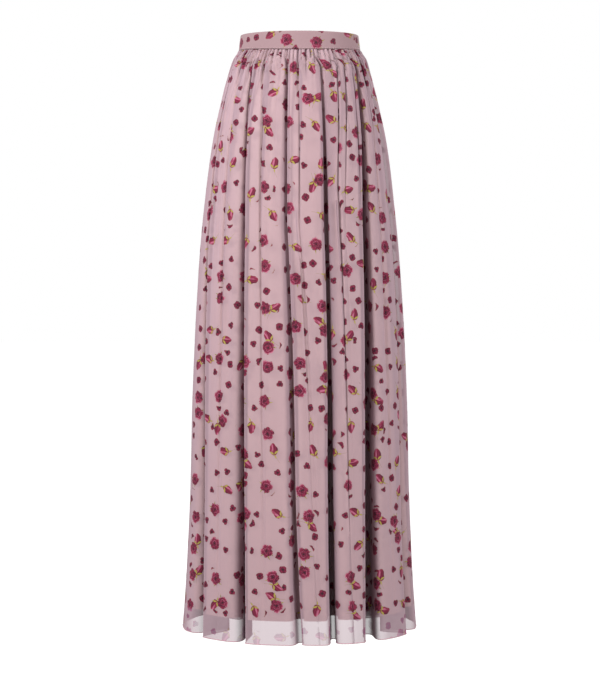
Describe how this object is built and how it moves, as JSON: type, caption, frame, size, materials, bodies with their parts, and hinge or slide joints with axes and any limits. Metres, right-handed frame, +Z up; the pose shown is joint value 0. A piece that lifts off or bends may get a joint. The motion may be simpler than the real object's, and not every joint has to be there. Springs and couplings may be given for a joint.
{
  "type": "maxi skirt",
  "caption": "Long gathered skirt with a fitted flat waistband, a sheer printed outer layer over a shorter lining, and a zip at centre back.",
  "frame": {"origin": "middle of the waistband: on the skirt's vertical axis, half way up the band", "axes": "+Z up, the front faces -Y, and +X is the wearer's left"},
  "size_m": [0.451, 0.3835, 1.13],
  "materials": {
    "band_cloth": "matt printed woven, dusty pink with small scattered flowers",
    "printed_chiffon": "sheer matt chiffon, dusty pink with small scattered flowers",
    "lining_cloth": "plain soft lining, slightly glossy",
    "zip_tape": "narrow woven tape",
    "zip_coil": "moulded nylon coil",
    "zip_metal": "painted to match the cloth"
  },
  "bodies": {
    "skirt": {"waistband": "band_cloth", "shell_front": "printed_chiffon", "shell_back_left": "printed_chiffon", "shell_back_right": "printed_chiffon", "lining_front": "lining_cloth", "lining_back_left": "lining_cloth", "lining_back_right": "lining_cloth", "zip_tape_left": "zip_tape", "zip_tape_right": "zip_tape", "zip_chain": "zip_coil", "zip_slider": "zip_metal"},
    "pull": {"zip_pull": "zip_metal"}
  },
  "joints": [
    {"name": "zip_pull_swing", "type": "hinge", "parent": "skirt", "child": "pull", "pos_m": [0, 0.09214, 0.011], "axis": [1, 0, 0], "range_deg": [0, 175]}
  ]
}
